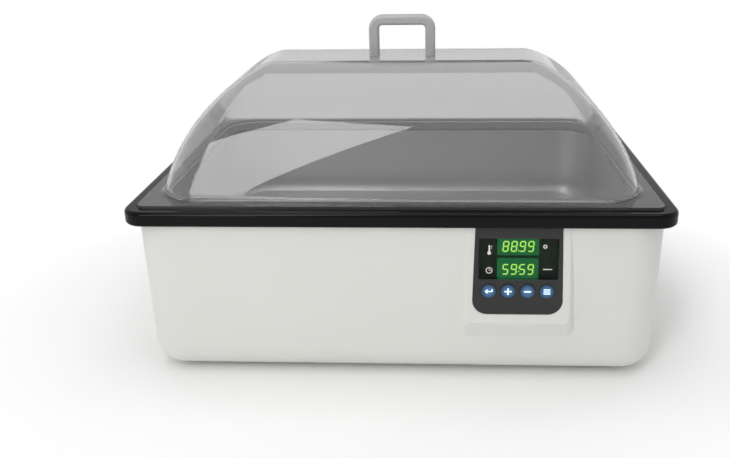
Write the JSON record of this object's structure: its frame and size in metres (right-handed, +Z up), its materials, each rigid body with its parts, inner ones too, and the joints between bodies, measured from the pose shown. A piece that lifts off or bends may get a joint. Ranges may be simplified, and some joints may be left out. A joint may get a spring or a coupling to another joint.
{
  "type": "water bath",
  "caption": "Bench water bath: white tub with a steel tank, black rim, clear domed lift-off lid with a bail handle, front panel with display and round keys, rear drain valve and mains inlet.",
  "frame": {"origin": "on the bench under the middle of the rim", "axes": "+X along the length towards the control panel's side, +Y from the front to the back, +Z up"},
  "size_m": [0.56, 0.364, 0.3624],
  "materials": {
    "white_moulding": "satin",
    "black_moulding": "glossy",
    "clear_moulding": "polished",
    "handle_plastic": "satin",
    "steel_sheet": "brushed",
    "galvanised_sheet": "galvanised",
    "bright_fixings": "plated",
    "black_rubber": "matt",
    "foam": "cellular",
    "mineral_wool": "fibrous",
    "heater_rubber": "matt",
    "bezel_plastic": "satin",
    "tinted_window": "polished",
    "lit_digits": "lit",
    "key_plastic": "satin",
    "board_laminate": "satin",
    "black_insulator": "satin",
    "white_nylon": "satin",
    "core_steel": "varnished",
    "relay_case": "satin",
    "terminal_plastic": "satin",
    "fuse_parts": "bright",
    "plated_brass": "satin",
    "lever_paint": "satin"
  },
  "bodies": {
    "bath": {"board_fuse": "fuse_parts", "board_screws": "bright_fixings", "board_standoffs": "white_nylon", "bottom_cover": "galvanised_sheet", "cover_screws": "bright_fixings", "display_board": "board_laminate", "display_window": "tinted_window", "drain_nut": "plated_brass", "drain_pipe": "plated_brass", "drain_valve_body": "plated_brass", "earth_stud": "bright_fixings", "foot_front_left": "black_rubber", "foot_front_right": "black_rubber", "foot_rear_left": "black_rubber", "foot_rear_right": "black_rubber", "frame_screws": "bright_fixings", "heater_clamp_plate": "galvanised_sheet", "heater_insulation": "mineral_wool", "heater_nuts": "bright_fixings", "heater_pad": "heater_rubber", "heater_studs": "bright_fixings", "housing": "white_moulding", "inlet_pins": "plated_brass", "inlet_screws": "bright_fixings", "key_switches": "black_insulator", "mains_inlet": "black_insulator", "panel_bezel": "bezel_plastic", "perforated_shelf": "steel_sheet", "power_board": "board_laminate", "probe_clip": "galvanised_sheet", "relay": "relay_case", "rim_frame": "black_moulding", "switch_frame": "black_insulator", "tank": "steel_sheet", "tank_gasket": "black_rubber", "tank_jacket": "foam", "temperature_display": "lit_digits", "temperature_probe": "bright_fixings", "terminal_block": "terminal_plastic", "thermal_cutout": "black_insulator", "time_display": "lit_digits", "transformer": "core_steel"},
    "lid": {"lid_dome": "clear_moulding", "lid_handle": "handle_plastic", "handle_washers": "bright_fixings", "handle_screws": "bright_fixings"},
    "enter_key": {"enter_key": "key_plastic"},
    "plus_key": {"plus_key": "key_plastic"},
    "minus_key": {"minus_key": "key_plastic"},
    "menu_key": {"menu_key": "key_plastic"},
    "power_rocker": {"power_rocker": "black_insulator"},
    "drain_lever": {"drain_lever": "lever_paint", "drain_ball": "plated_brass"}
  },
  "joints": [
    {"name": "lid_lift", "type": "slide", "parent": "bath", "child": "lid", "axis": [0, 0, 1], "range_m": [0, 0.2]},
    {"name": "enter_key_press", "type": "slide", "parent": "bath", "child": "enter_key", "axis": [0, 0.9986, -0.0523], "range_m": [0, 0.0008], "stiffness_N_per_m": 400, "springref_m": -0.0015},
    {"name": "plus_key_press", "type": "slide", "parent": "bath", "child": "plus_key", "axis": [0, 0.9986, -0.0523], "range_m": [0, 0.0008], "stiffness_N_per_m": 400, "springref_m": -0.0015},
    {"name": "minus_key_press", "type": "slide", "parent": "bath", "child": "minus_key", "axis": [0, 0.9986, -0.0523], "range_m": [0, 0.0008], "stiffness_N_per_m": 400, "springref_m": -0.0015},
    {"name": "menu_key_press", "type": "slide", "parent": "bath", "child": "menu_key", "axis": [0, 0.9986, -0.0523], "range_m": [0, 0.0008], "stiffness_N_per_m": 400, "springref_m": -0.0015},
    {"name": "rocker_tilt", "type": "hinge", "parent": "bath", "child": "power_rocker", "pos_m": [0.105, 0.1735, 0.045], "axis": [1, 0, 0], "range_deg": [-16, 0]},
    {"name": "drain_turn", "type": "hinge", "parent": "bath", "child": "drain_lever", "pos_m": [-0.18, 0.16, 0.056], "axis": [0, 0, 1], "range_deg": [0, 90]}
  ]
}
